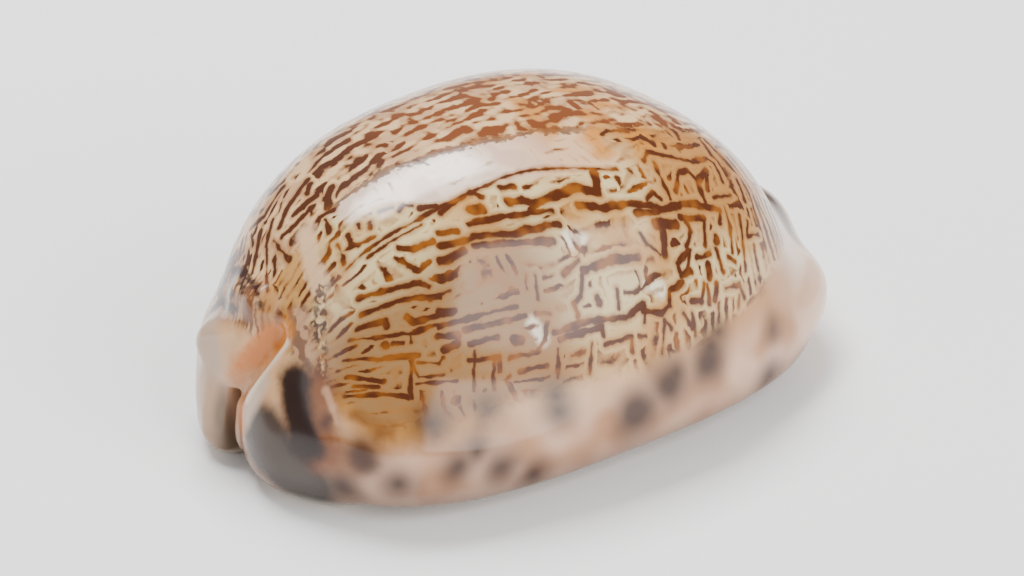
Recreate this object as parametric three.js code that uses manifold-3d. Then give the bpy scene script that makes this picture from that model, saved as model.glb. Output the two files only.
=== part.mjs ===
import * as THREE from 'three';
import { mergeVertices } from 'three/addons/utils/BufferGeometryUtils.js';
import Module from 'manifold-3d';

// A cowrie shell that lies on its base with its back up. Millimetres, +Z up.
// X runs along the shell: the blunt spire end is at -X and the narrow front end at +X.
// The outer lip is at -Y and the inner lip, which hides the spire, is at +Y.
// Every surface comes from a distance rule: negative inside the shell's form, positive outside.

// Half the length of the callus; the lobes at both ends reach about a millimetre past it.
const HALF_LENGTH = 35;

// The marginal callus: a low wide pebble of enamel all round the base.
const CALLUS = {
  outerHalfWidth: 25.1,
  innerHalfWidth: 22.3,
  waist: 6.25,
  rise: 6.0,
  riseAtSpireEnd: 7.2,
  drop: 6.8,
  dropAtSpireEnd: 1.0,
  liftAtFrontEnd: 1.7,
  taper: -0.02,
  lean: -3.0,
  squareness: 2.8,
};

// The humped back of the last whorl, set into the callus.
const BACK = {
  middle: new THREE.Vector3(-5.2, -1.5, 3.9),
  reachToSpireEnd: 29.1,
  reachToFrontEnd: 36.1,
  halfWidth: 24.4,
  rise: 28.6,
  drop: 3.2,
  taper: 0.17,
  squareness: 2.44,
};
const CALLUS_BLEND = 3.5;

// Both lips swell into round lobes beside the canals: one at the front end and two at the spire end,
// where the inner one spreads into a foot.
const END_LOBES = [
  {
    from: new THREE.Vector3(24.4, -8.9, 8.1),
    to: new THREE.Vector3(29.9, -4.2, 8.1),
    fromRadius: 6.1,
    toRadius: 6.1,
  },
  {
    from: new THREE.Vector3(-29.5, -8.9, 5.2),
    to: new THREE.Vector3(-31.0, -5.9, 5.2),
    fromRadius: 5.3,
    toRadius: 5.3,
  },
  {
    from: new THREE.Vector3(-29.2, 5.0, 5.3),
    to: new THREE.Vector3(-29.8, 3.6, 5.3),
    fromRadius: 5.1,
    toRadius: 5.1,
  },
  {
    from: new THREE.Vector3(-32.6, 3.3, 3.0),
    to: new THREE.Vector3(-31.3, 5.6, 3.0),
    fromRadius: 2.9,
    toRadius: 2.7,
  },
];
const LOBE_BLEND = 3.0;

// The buried spire shows as a low mound above the groove of the spire end, with a lip beside it.
const SPIRE_MOUND = {
  from: new THREE.Vector3(-31.0, 0.2, 18.4),
  to: new THREE.Vector3(-30.2, 3.6, 17.4),
  fromRadius: 2.3,
  toRadius: 2.3,
  blend: 1.6,
};
const SPIRE_LIP = {
  from: new THREE.Vector3(-32.4, 7.0, 11.8),
  to: new THREE.Vector3(-32.2, 1.2, 14.8),
  fromRadius: 2.2,
  toRadius: 2.0,
  blend: 1.6,
};
const SPIRE_GROOVE = {
  from: new THREE.Vector3(-35.7, 0.2, 10.8),
  to: new THREE.Vector3(-33.1, -3.1, 16.9),
  fromRadius: 1.9,
  toRadius: 1.7,
  blend: 0.7,
};

// The aperture: a narrow slit along the whole base, which runs out at both ends.
const SLIT = {
  middle: 0.8,
  bendAtSpireEnd: 1.0,
  bendAtFrontEnd: 0.6,
  halfWidth: 1.9,
  narrowingAtSpireEnd: 1.2,
  wideningAtFrontEnd: 0.3,
  roof: 9.5,
  roofDropAtSpireEnd: 0.6,
  overrun: 4,
};

// Both lips roll in to the slit with a soft edge, which is sharper at the spire end.
const LIP_ROLL = {
  depth: 1.7,
  lossAtSpireEnd: 0.5,
  inside: 0.5,
  outside: 3.4,
  fadeBelowRoof: 1,
  fadeAboveRoof: 2,
};

// Teeth along both lips, as trapezia: a step along the pitch and a share of the height.
const OUTER_TEETH = { count: 28, from: -26.5, to: 29.5, height: 1.1 };
const INNER_TEETH = { count: 24, from: -24.5, to: 27.5, height: 0.9 };
const TOOTH_PROFILE = [[-0.36, 0], [-0.16, 1], [0.16, 1], [0.36, 0]];

// The chamber of the last whorl: its floor climbs over the two rolled-in lips, beside the slit.
const CHAMBER = { wall: 1.9, floor: 3.6, floorBlend: 2, middle: new THREE.Vector3(-3, 0, 22) };
const LIP_RIDGE = { height: 4.4, spread: 6.0 };
// What is left of the old whorls bulges into the chamber beside the inner lip.
const OLD_WHORLS = {
  from: new THREE.Vector3(-28, 5, 11),
  to: new THREE.Vector3(0, 8, 5),
  fromRadius: 5.0,
  toRadius: 2.5,
  blend: 3.0,
};

const SKIN_MIDDLE = new THREE.Vector3(-2, 0, 13);
const SKIN_GRID = { around: 60, along: 44 };
const CHAMBER_GRID = { around: 30, along: 22 };
const MARCH_STEP = 0.5;
const HALVINGS = 30;
const FLAT_TOLERANCE = 1e-4;

const clamp = THREE.MathUtils.clamp;
const smoothstep = (value, low, high) => THREE.MathUtils.smoothstep(value, low, high);

// Joins two distances with a fillet, and cuts one by the other in the same way.
function smoothMin(a, b, blend) {
  const share = clamp(0.5 + (0.5 * (b - a)) / blend, 0, 1);
  return b * (1 - share) + a * share - blend * share * (1 - share);
}

function smoothMax(a, b, blend) {
  return -smoothMin(-a, -b, blend);
}

// Distance to an egg with three half axes; a squareness over 2 gives fuller shoulders.
function eggDistance(x, y, z, halfX, halfY, halfZ, squareness) {
  const ratios = [Math.abs(x) / halfX, Math.abs(y) / halfY, Math.abs(z) / halfZ];
  const halves = [halfX, halfY, halfZ];
  const sum = ratios.reduce((total, ratio) => total + ratio ** squareness, 1e-12);
  const reach = sum ** (1 / squareness);
  const slopes = ratios.map((ratio, axis) => (ratio / reach) ** (squareness - 1) / halves[axis]);
  return (reach - 1) / Math.hypot(...slopes, 1e-9);
}

// Distance to a rod with round ends whose radius changes evenly.
function rodDistance(point, rod) {
  const along = rod.to.clone().sub(rod.from);
  const offset = point.clone().sub(rod.from);
  const share = clamp(offset.dot(along) / along.lengthSq(), 0, 1);
  const radius = rod.fromRadius + (rod.toRadius - rod.fromRadius) * share;
  return offset.addScaledVector(along, -share).length() - radius;
}

// Shares that grow from the middle to the spire end and to the front end.
function towardsSpireEnd(x) {
  return clamp(-x / HALF_LENGTH, 0, 1);
}

function towardsFrontEnd(x) {
  return clamp(x / HALF_LENGTH, 0, 1);
}

function callusDistance({ x, y, z }) {
  const spire = towardsSpireEnd(x) ** 2;
  const front = towardsFrontEnd(x) ** 2;
  const centredY = y - CALLUS.lean * (spire + front);
  const side = centredY < 0 ? CALLUS.outerHalfWidth : CALLUS.innerHalfWidth;
  const halfWidth = side * (1 + (CALLUS.taper * x) / HALF_LENGTH);
  const up = CALLUS.rise + CALLUS.riseAtSpireEnd * spire;
  const down = CALLUS.drop + CALLUS.dropAtSpireEnd * spire - CALLUS.liftAtFrontEnd * front;
  const level = z - CALLUS.waist;
  return eggDistance(x, centredY, level, HALF_LENGTH, halfWidth, level > 0 ? up : down, CALLUS.squareness);
}

function backDistance({ x, y, z }) {
  const along = x - BACK.middle.x;
  const reach = along < 0 ? BACK.reachToSpireEnd : BACK.reachToFrontEnd;
  const halfWidth = BACK.halfWidth * (1 + (BACK.taper * x) / HALF_LENGTH);
  const level = z - BACK.middle.z;
  const height = level > 0 ? BACK.rise : BACK.drop;
  return eggDistance(along, y - BACK.middle.y, level, reach, halfWidth, height, BACK.squareness);
}

// The whole outside before the aperture is opened.
function closedFormDistance(point) {
  let distance = smoothMin(callusDistance(point), backDistance(point), CALLUS_BLEND);
  for (const lobe of END_LOBES) {
    distance = smoothMin(distance, rodDistance(point, lobe), LOBE_BLEND);
  }
  distance = smoothMin(distance, rodDistance(point, SPIRE_MOUND), SPIRE_MOUND.blend);
  distance = smoothMin(distance, rodDistance(point, SPIRE_LIP), SPIRE_LIP.blend);
  return smoothMax(distance, -rodDistance(point, SPIRE_GROOVE), SPIRE_GROOVE.blend);
}

function slitMiddle(x) {
  return SLIT.middle + SLIT.bendAtSpireEnd * towardsSpireEnd(x) ** 2 + SLIT.bendAtFrontEnd * towardsFrontEnd(x) ** 2;
}

function slitHalfWidth(x) {
  const narrowing = SLIT.narrowingAtSpireEnd * towardsSpireEnd(x) ** 3;
  return SLIT.halfWidth - narrowing + SLIT.wideningAtFrontEnd * towardsFrontEnd(x);
}

function slitRoof(x) {
  return SLIT.roof - SLIT.roofDropAtSpireEnd * towardsSpireEnd(x);
}

// The outside with its lips rolled in towards the slit, cut flat where it rests.
function skinDistance(point) {
  const edge = slitHalfWidth(point.x);
  const roof = slitRoof(point.x);
  const sideways = Math.abs(point.y - slitMiddle(point.x));
  const nearSlit = 1 - smoothstep(sideways, edge - LIP_ROLL.inside, edge + LIP_ROLL.outside);
  const underRoof = 1 - smoothstep(point.z, roof - LIP_ROLL.fadeBelowRoof, roof + LIP_ROLL.fadeAboveRoof);
  const depth = LIP_ROLL.depth * (1 - LIP_ROLL.lossAtSpireEnd * towardsSpireEnd(point.x) ** 2);
  return Math.max(closedFormDistance(point) + depth * nearSlit * underRoof, -point.z);
}

function chamberDistance(point) {
  const raised = { x: point.x, y: point.y, z: Math.max(point.z, BACK.middle.z) };
  const inset = backDistance(raised) + CHAMBER.wall;
  const fromSlit = (point.y - slitMiddle(point.x)) / LIP_RIDGE.spread;
  const floor = CHAMBER.floor + LIP_RIDGE.height * Math.exp(-(fromSlit ** 2));
  const overFloor = smoothMax(inset, floor - point.z, CHAMBER.floorBlend);
  return smoothMax(overFloor, -rodDistance(point, OLD_WHORLS), OLD_WHORLS.blend);
}

// How far a ray runs from the middle before it leaves the form.
function reachAlong(distance, middle, direction) {
  const point = new THREE.Vector3();
  const at = (reach) => distance(point.copy(middle).addScaledVector(direction, reach));
  let far = MARCH_STEP;
  while (at(far) < 0) {
    far += MARCH_STEP;
  }
  let near = far - MARCH_STEP;
  for (let halving = 0; halving < HALVINGS; halving += 1) {
    const half = (near + far) / 2;
    if (at(half) < 0) {
      near = half;
    } else {
      far = half;
    }
  }
  return near;
}

// A sphere with its poles on the X axis, pushed out from a middle point until it meets the form.
function growSkin(distance, middle, grid) {
  const skin = new THREE.SphereGeometry(1, grid.around, grid.along);
  skin.rotateZ(Math.PI / 2);
  skin.deleteAttribute('normal');
  skin.deleteAttribute('uv');
  const merged = mergeVertices(skin);
  const position = merged.getAttribute('position');
  const direction = new THREE.Vector3();
  for (let index = 0; index < position.count; index += 1) {
    direction.fromBufferAttribute(position, index).normalize();
    const point = direction.clone().multiplyScalar(reachAlong(distance, middle, direction)).add(middle);
    const height = Math.abs(point.z) < FLAT_TOLERANCE ? 0 : point.z;
    position.setXYZ(index, point.x, point.y, height);
  }
  return merged;
}

// One lip's edge in plan, from the spire end to the front end, with its teeth.
function lipEdge(side, teeth) {
  const edgePoint = (x, height) => new THREE.Vector2(x, slitMiddle(x) + side * (slitHalfWidth(x) - height));
  const pitch = (teeth.to - teeth.from) / teeth.count;
  const points = [edgePoint(-HALF_LENGTH - SLIT.overrun, 0)];
  for (let tooth = 0; tooth < teeth.count; tooth += 1) {
    const middle = teeth.from + (tooth + 0.5) * pitch;
    for (const [step, share] of TOOTH_PROFILE) {
      points.push(edgePoint(middle + step * pitch, share * teeth.height));
    }
  }
  points.push(edgePoint(HALF_LENGTH + SLIT.overrun, 0));
  return points;
}

// The blade that opens the aperture, with a comb of teeth on each side.
function apertureBlade() {
  const outline = [...lipEdge(-1, OUTER_TEETH), ...lipEdge(1, INNER_TEETH).reverse()];
  const blade = new THREE.ExtrudeGeometry(new THREE.Shape(outline), { depth: 1, bevelEnabled: false, steps: 1 });
  const position = blade.getAttribute('position');
  for (let index = 0; index < position.count; index += 1) {
    const top = position.getZ(index) > 0.5;
    position.setZ(index, top ? slitRoof(position.getX(index)) : -SLIT.overrun);
  }
  blade.deleteAttribute('normal');
  blade.deleteAttribute('uv');
  return mergeVertices(blade);
}

function toSolid(wasm, geometry) {
  const vertProperties = new Float32Array(geometry.getAttribute('position').array);
  const triVerts = new Uint32Array(geometry.getIndex().array);
  return new wasm.Manifold(new wasm.Mesh({ numProp: 3, vertProperties, triVerts }));
}

function toGeometry(solid) {
  const { vertProperties, triVerts } = solid.getMesh();
  const geometry = new THREE.BufferGeometry();
  geometry.setAttribute('position', new THREE.BufferAttribute(vertProperties, 3));
  geometry.setIndex(new THREE.BufferAttribute(triVerts, 1));
  geometry.computeVertexNormals();
  return geometry;
}

// The shell is one grown piece: the outside, less the chamber, less the aperture.
function makeShell(wasm) {
  const outside = toSolid(wasm, growSkin(skinDistance, SKIN_MIDDLE, SKIN_GRID));
  const chamber = toSolid(wasm, growSkin(chamberDistance, CHAMBER.middle, CHAMBER_GRID));
  const aperture = toSolid(wasm, apertureBlade());
  const enamel = new THREE.MeshStandardMaterial({ color: 0xcdb494, roughness: 0.22, metalness: 0 });
  const shell = new THREE.Mesh(toGeometry(outside.subtract(chamber).subtract(aperture)), enamel);
  shell.name = 'shell';
  return shell;
}

// The origin is under the middle of the shell, on the surface that it lies on.
function centreOverOrigin(mesh) {
  mesh.geometry.computeBoundingBox();
  const middle = mesh.geometry.boundingBox.getCenter(new THREE.Vector3());
  mesh.position.set(-middle.x, -middle.y, 0);
}

const wasm = await Module();
wasm.setup();
const shell = makeShell(wasm);
centreOverOrigin(shell);
const cowrie = new THREE.Group();
cowrie.add(shell);

export default cowrie;
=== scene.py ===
# %% [markdown]
# # A cowrie shell, lying on its base
#
# A cowrie is one grown piece of glossy enamel. Its last whorl is rolled so far over the others that
# the shell looks like an egg with a slit underneath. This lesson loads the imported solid, makes the
# fine surface from one distance rule in Geometry Nodes, and paints the enamel with shader nodes.

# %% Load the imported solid
import math

import bpy
from mathutils import Matrix, Vector


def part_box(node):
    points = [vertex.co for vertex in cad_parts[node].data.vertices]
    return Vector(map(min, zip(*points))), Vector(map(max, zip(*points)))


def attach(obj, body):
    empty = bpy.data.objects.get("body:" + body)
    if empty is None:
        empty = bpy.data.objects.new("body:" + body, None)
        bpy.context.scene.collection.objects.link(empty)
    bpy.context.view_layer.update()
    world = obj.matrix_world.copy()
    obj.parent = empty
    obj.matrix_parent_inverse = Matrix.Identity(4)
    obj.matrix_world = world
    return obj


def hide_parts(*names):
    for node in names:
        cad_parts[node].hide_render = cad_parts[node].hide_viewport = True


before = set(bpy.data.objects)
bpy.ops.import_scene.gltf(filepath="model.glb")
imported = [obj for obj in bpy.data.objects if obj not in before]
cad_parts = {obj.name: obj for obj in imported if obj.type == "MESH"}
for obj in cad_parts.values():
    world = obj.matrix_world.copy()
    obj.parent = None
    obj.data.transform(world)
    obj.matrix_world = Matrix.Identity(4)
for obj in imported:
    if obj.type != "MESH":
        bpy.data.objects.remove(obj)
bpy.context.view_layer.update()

# %% [markdown]
# ## Node trees that read like formulas
#
# The shape and the colours are both long formulas. They could be drawn by hand as hundreds of nodes,
# but a formula is easier to read and to change. So one small class wraps a socket, and a sum,
# product or power of two wires adds the Math node that works it out. Every other node comes from
# one method, which takes its type, its settings and its sockets.

# %% Wires and benches
class Wire:
    """One output socket. Arithmetic on wires adds Math nodes to the tree."""

    def __init__(self, bench, socket):
        self.bench = bench
        self.socket = socket

    def __add__(self, other):
        return self.bench.math("ADD", self, other)

    def __sub__(self, other):
        return self.bench.math("SUBTRACT", self, other)

    def __mul__(self, other):
        return self.bench.math("MULTIPLY", self, other)

    def __truediv__(self, other):
        return self.bench.math("DIVIDE", self, other)

    def __pow__(self, other):
        return self.bench.math("POWER", self, other)

    def __lt__(self, other):
        return self.bench.math("LESS_THAN", self, other)

    def __gt__(self, other):
        return self.bench.math("GREATER_THAN", self, other)

    def __radd__(self, other):
        return self.bench.math("ADD", other, self)

    def __rsub__(self, other):
        return self.bench.math("SUBTRACT", other, self)

    def __rmul__(self, other):
        return self.bench.math("MULTIPLY", other, self)

    def __rtruediv__(self, other):
        return self.bench.math("DIVIDE", other, self)

    def __neg__(self):
        return self.bench.math("MULTIPLY", self, -1.0)

    def __abs__(self):
        return self.bench.math("ABSOLUTE", self)


class Bench:
    """A node tree, and the one method that puts nodes in it."""

    def __init__(self, tree):
        self.tree = tree

    def node(self, kind, settings=None, sockets=None, out=0):
        """Adds a node: settings first, then values or wires for its sockets, by name or number."""
        made = self.tree.nodes.new(kind)
        for name, value in (settings or {}).items():
            setattr(made, name, value)
        for key, value in (sockets or {}).items():
            if isinstance(value, Wire):
                self.tree.links.new(value.socket, made.inputs[key])
            else:
                made.inputs[key].default_value = value
        return Wire(self, made.outputs[out])

    def math(self, operation, *values):
        return self.node("ShaderNodeMath", {"operation": operation}, dict(enumerate(values)))

    def vector(self, operation, *values, out=0):
        return self.node("ShaderNodeVectorMath", {"operation": operation}, dict(enumerate(values)), out)

    def scale(self, vector, factor):
        return self.node("ShaderNodeVectorMath", {"operation": "SCALE"}, {0: vector, "Scale": factor})

    def join(self, x, y, z):
        return self.node("ShaderNodeCombineXYZ", sockets={0: x, 1: y, 2: z})

    def split(self, vector):
        first = self.node("ShaderNodeSeparateXYZ", sockets={0: vector})
        return [Wire(self, socket) for socket in first.socket.node.outputs]

    def clamp(self, value):
        return self.node("ShaderNodeClamp", sockets={0: value})

    def ramp(self, value, low, high):
        """0 below low, 1 above high, and an S-shaped rise between."""
        settings = {"interpolation_type": "SMOOTHSTEP"}
        return self.node("ShaderNodeMapRange", settings, {0: value, 1: low, 2: high, 3: 0.0, 4: 1.0})

    def choose(self, test, yes, no):
        """yes where test is 1, no where it is 0."""
        return no + test * (yes - no)

    def smooth_min(self, a, b, blend):
        share = self.clamp(0.5 + 0.5 * (b - a) / blend)
        return b + (a - b) * share - blend * share * (1.0 - share)

    def smooth_max(self, a, b, blend):
        return -self.smooth_min(-a, -b, blend)


print("wires and benches are ready")

# %% [markdown]
# ## The shape rule
#
# The real shell is enamel laid down in layers, so every edge on it is soft. A surface could be
# modelled by pulling a cage of points about, but the back, the rim and the lips all blend into each
# other, and a distance rule does that by itself: it is negative inside the shell and positive
# outside, and two forms are joined with a fillet by a smooth minimum. The sizes are in millimetres
# and are the same as the solid's. In the rule's own frame x runs to the narrow front end and the
# outer lip is at negative y.

# %% Sizes of the shell
HALF_LENGTH = 35.0
CALLUS = dict(outer=25.1, inner=22.3, waist=6.25, rise=6.0, rise_spire=7.2, drop=6.8, drop_spire=1.0,
              lift_front=1.7, taper=-0.02, lean=-3.0, squareness=2.8)
BACK = dict(middle=(-5.2, -1.5, 3.9), to_spire=29.1, to_front=36.1, half_width=24.4, rise=28.6,
            drop=3.2, taper=0.17, squareness=2.44)
CALLUS_BLEND = 3.5
FRONT_LOBE = dict(start=(24.4, -8.9, 8.1), end=(29.9, -4.2, 8.1), radii=(6.1, 6.1), blend=3.0)
OUTER_SPIRE_LOBE = dict(start=(-29.5, -8.9, 5.2), end=(-31.0, -5.9, 5.2), radii=(5.3, 5.3), blend=3.0)
INNER_SPIRE_LOBE = dict(start=(-29.2, 5.0, 5.3), end=(-29.8, 3.6, 5.3), radii=(5.1, 5.1), blend=3.0)
INNER_SPIRE_FOOT = dict(start=(-32.6, 3.3, 3.0), end=(-31.3, 5.6, 3.0), radii=(2.9, 2.7), blend=3.0)
SPIRE_LIP = dict(start=(-32.4, 7.0, 11.8), end=(-32.2, 1.2, 14.8), radii=(2.2, 2.0), blend=1.6)
SPIRE_MOUND = dict(start=(-31.0, 0.2, 18.4), end=(-30.2, 3.6, 17.4), radii=(2.3, 2.3), blend=1.6)
SPIRE_GROOVE = dict(start=(-35.7, 0.2, 10.8), end=(-33.1, -3.1, 16.9), radii=(1.9, 1.7), blend=0.7)
SLIT = dict(middle=0.8, bend_spire=1.0, bend_front=0.6, half_width=1.9, narrow_spire=1.2,
            widen_front=0.3, roof=9.5, roof_spire=-0.6)
LIP_ROLL = dict(depth=1.7, less_spire=0.5, inside=0.5, outside=3.4, below=1.0, above=2.0)
OUTER_TEETH = dict(count=28, start=-26.5, end=29.5, height=1.1)
INNER_TEETH = dict(count=24, start=-24.5, end=27.5, height=0.9)
TOOTH_RUN = dict(before=0.5, rise=2.0, raised_lip=0.35)
CHAMBER = dict(wall=1.9, floor=3.6, blend=2.0, ridge=4.4, spread=6.0, skin=0.8)
OLD_WHORLS = dict(start=(-28.0, 5.0, 11.0), end=(0.0, 8.0, 5.0), radii=(5.0, 2.5), blend=3.0)
BLENDS = dict(roof=1.0, slit=0.7, chamber=0.8, floor=0.1)
METRE = 1000.0
print("a shell of about", 2 * HALF_LENGTH, "mm")

# %% Forms that the rule is made of
def egg(b, x, y, z, half_x, half_y, half_z, squareness):
    """Distance to an egg with three half axes; squareness over 2 gives fuller shoulders."""
    halves = (half_x, half_y, half_z)
    ratios = [abs(value) / half for value, half in zip((x, y, z), halves)]
    total = ratios[0] ** squareness + ratios[1] ** squareness + ratios[2] ** squareness
    reach = (total + 1e-9) ** (1.0 / squareness)
    slopes = [(ratio / reach) ** (squareness - 1.0) / half for ratio, half in zip(ratios, halves)]
    steepness = b.vector("LENGTH", b.join(*slopes), out="Value")
    return (reach - 1.0) / (steepness + 1e-6)


def rod(b, point, sizes):
    """Distance to a rod with round ends whose radius changes evenly."""
    start, end = Vector(sizes["start"]), Vector(sizes["end"])
    along = end - start
    offset = b.vector("SUBTRACT", point, tuple(start))
    share = b.clamp(b.vector("DOT_PRODUCT", offset, tuple(along / along.length_squared), out="Value"))
    nearest = b.scale(tuple(along), share)
    radius = sizes["radii"][0] + (sizes["radii"][1] - sizes["radii"][0]) * share
    return b.vector("LENGTH", b.vector("SUBTRACT", offset, nearest), out="Value") - radius


def ends(b, x):
    """Shares that grow from the middle to the spire end and to the front end."""
    return b.clamp(x / -HALF_LENGTH), b.clamp(x / HALF_LENGTH)


def callus(b, x, y, z):
    spire, front = [share * share for share in ends(b, x)]
    centred = y - CALLUS["lean"] * (spire + front)
    side = b.choose(centred < 0.0, CALLUS["outer"], CALLUS["inner"])
    half_width = side * (1.0 + x * (CALLUS["taper"] / HALF_LENGTH))
    level = z - CALLUS["waist"]
    up = CALLUS["rise"] + CALLUS["rise_spire"] * spire
    down = CALLUS["drop"] + CALLUS["drop_spire"] * spire - CALLUS["lift_front"] * front
    return egg(b, x, centred, level, HALF_LENGTH, half_width, b.choose(level > 0.0, up, down),
               CALLUS["squareness"])


def back(b, x, y, z):
    middle_x, middle_y, middle_z = BACK["middle"]
    along, level = x - middle_x, z - middle_z
    reach = b.choose(along < 0.0, BACK["to_spire"], BACK["to_front"])
    half_width = BACK["half_width"] * (1.0 + x * (BACK["taper"] / HALF_LENGTH))
    height = b.choose(level > 0.0, BACK["rise"], BACK["drop"])
    return egg(b, along, y - middle_y, level, reach, half_width, height, BACK["squareness"])


print("forms: callus, back, rods")

# %% [markdown]
# ## The rule in one node group
#
# The skin is the callus and the back joined, with the front lobe and the spire mound added and the
# groove of the spire end taken out. The lips roll in towards the slit. The slit, whose edges carry
# the teeth, and the chamber inside are cut out last. A group lets later steps ask for the distance
# at any point, also a little to one side, which gives the direction of the surface.

# %% Slit, teeth and chamber
def slit_middle(b, x):
    spire, front = ends(b, x)
    return SLIT["middle"] + SLIT["bend_spire"] * spire * spire + SLIT["bend_front"] * front * front


def slit_roof(b, x):
    return SLIT["roof"] + SLIT["roof_spire"] * ends(b, x)[0]


def comb(b, x, teeth):
    """1 along the crest of each tooth and 0 between teeth, with soft flanks."""
    pitch = (teeth["end"] - teeth["start"]) / teeth["count"]
    phase = (x - teeth["start"]) * (2.0 * math.pi / pitch)
    wave = 0.5 - 0.5 * b.math("COSINE", phase)
    before, rise = TOOTH_RUN["before"], TOOTH_RUN["rise"]
    inside = b.ramp(x, teeth["start"] - before, teeth["start"] + rise)
    beyond = b.ramp(x, teeth["end"] - rise, teeth["end"] + before)
    return wave * inside * (1.0 - beyond)


def chamber(b, x, y, z):
    raised = b.math("MAXIMUM", z, BACK["middle"][2])
    inset = back(b, x, y, raised) + CHAMBER["wall"]
    from_slit = (y - slit_middle(b, x)) / CHAMBER["spread"]
    floor = CHAMBER["floor"] + CHAMBER["ridge"] * b.math("EXPONENT", -(from_slit * from_slit))
    over_floor = b.smooth_max(inset, floor - z, CHAMBER["blend"])
    return b.smooth_max(over_floor, -rod(b, b.join(x, y, z), OLD_WHORLS), OLD_WHORLS["blend"])


# %% The distance group
def new_group(name, inputs, outputs, kind="GeometryNodeTree"):
    """A node group with named inputs and outputs."""
    tree = bpy.data.node_groups.new(name, kind)
    for label, socket_kind, value in inputs:
        socket = tree.interface.new_socket(label, in_out="INPUT", socket_type=socket_kind)
        if value is not None:
            socket.default_value = value
    for label, socket_kind in outputs:
        tree.interface.new_socket(label, in_out="OUTPUT", socket_type=socket_kind)
    b = Bench(tree)
    start = tree.nodes.new("NodeGroupInput")
    finish = tree.nodes.new("NodeGroupOutput")
    given = {socket.name: Wire(b, socket) for socket in start.outputs}
    return b, given, finish


OPENING_INPUTS = [("Slit Half Width", "NodeSocketFloat", SLIT["half_width"]),
                  ("Outer Tooth Height", "NodeSocketFloat", OUTER_TEETH["height"]),
                  ("Inner Tooth Height", "NodeSocketFloat", INNER_TEETH["height"])]
LUMPS = (FRONT_LOBE, OUTER_SPIRE_LOBE, INNER_SPIRE_LOBE, INNER_SPIRE_FOOT, SPIRE_MOUND, SPIRE_LIP)


def make_distance_group():
    inputs = [("Point", "NodeSocketVector", None), *OPENING_INPUTS]
    outputs = [("Distance", "NodeSocketFloat"), ("Chamber", "NodeSocketFloat")]
    b, given, finish = new_group("cowrie_distance", inputs, outputs)
    point = given["Point"]
    x, y, z = b.split(point)
    spire, front = ends(b, x)
    skin = b.smooth_min(callus(b, x, y, z), back(b, x, y, z), CALLUS_BLEND)
    for lump in LUMPS:
        skin = b.smooth_min(skin, rod(b, point, lump), lump["blend"])
    skin = b.smooth_max(skin, -rod(b, point, SPIRE_GROOVE), SPIRE_GROOVE["blend"])
    narrowing = SLIT["narrow_spire"] * spire ** 3.0
    half_width = given["Slit Half Width"] - narrowing + SLIT["widen_front"] * front
    across = y - slit_middle(b, x)
    outer_side = across < 0.0
    tooth = b.choose(outer_side, comb(b, x, OUTER_TEETH), comb(b, x, INNER_TEETH))
    height = b.choose(outer_side, given["Outer Tooth Height"], given["Inner Tooth Height"])
    roof = slit_roof(b, x)
    sideways = abs(across)
    near = 1.0 - b.ramp(sideways, half_width - LIP_ROLL["inside"], half_width + LIP_ROLL["outside"])
    under = 1.0 - b.ramp(z, roof - LIP_ROLL["below"], roof + LIP_ROLL["above"])
    depth = LIP_ROLL["depth"] * (1.0 - LIP_ROLL["less_spire"] * spire * spire)
    rolled = skin + depth * near * under * (1.0 - TOOTH_RUN["raised_lip"] * tooth)
    slit = b.smooth_max(sideways - half_width + height * tooth, z - roof, BLENDS["roof"])
    hollow = chamber(b, x, y, z)
    body = b.smooth_max(rolled, -slit, BLENDS["slit"])
    body = b.smooth_max(body, -hollow, BLENDS["chamber"])
    body = b.smooth_max(body, -z, BLENDS["floor"])
    b.tree.links.new(body.socket, finish.inputs["Distance"])
    b.tree.links.new(hollow.socket, finish.inputs["Chamber"])
    return b.tree


distance_group = make_distance_group()
print("distance group:", len(distance_group.nodes), "nodes")

# %% [markdown]
# ## From the rule to a surface
#
# A fine grid of distances is turned into a mesh, which is rough at first because its points lie on
# the grid. So the points are evened out and then moved along the rule's slope until the distance
# is zero, and that is done twice. What is left is a closed surface that is as smooth as the rule.

# %% The surface tree
REACH_LOW = (-37.5, -27.0, -1.2)
REACH_HIGH = (38.0, 25.5, 34.0)
VOXEL = 0.5
EVENING_ROUNDS = 2
PASSES = 2
PROBE = 0.04
SINK = 0.03


def ask(b, point, sizes, out=0):
    sockets = {"Point": point, **sizes}
    return b.node("GeometryNodeGroup", {"node_tree": distance_group}, sockets, out)


def settle(b, point, sizes):
    """Moves a point down the rule's slope to where the distance is a hair under the skin."""
    here = ask(b, point, sizes)
    slope = []
    for axis in range(3):
        probe = tuple(PROBE if axis == other else 0.0 for other in range(3))
        slope.append((ask(b, b.vector("ADD", point, probe), sizes) - here) / PROBE)
    gradient = b.join(*slope)
    steepness = b.vector("DOT_PRODUCT", gradient, gradient, out="Value")
    step = (here + SINK) / (steepness + 1e-4)
    return b.vector("ADD", point, b.scale(gradient, -step))


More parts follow.
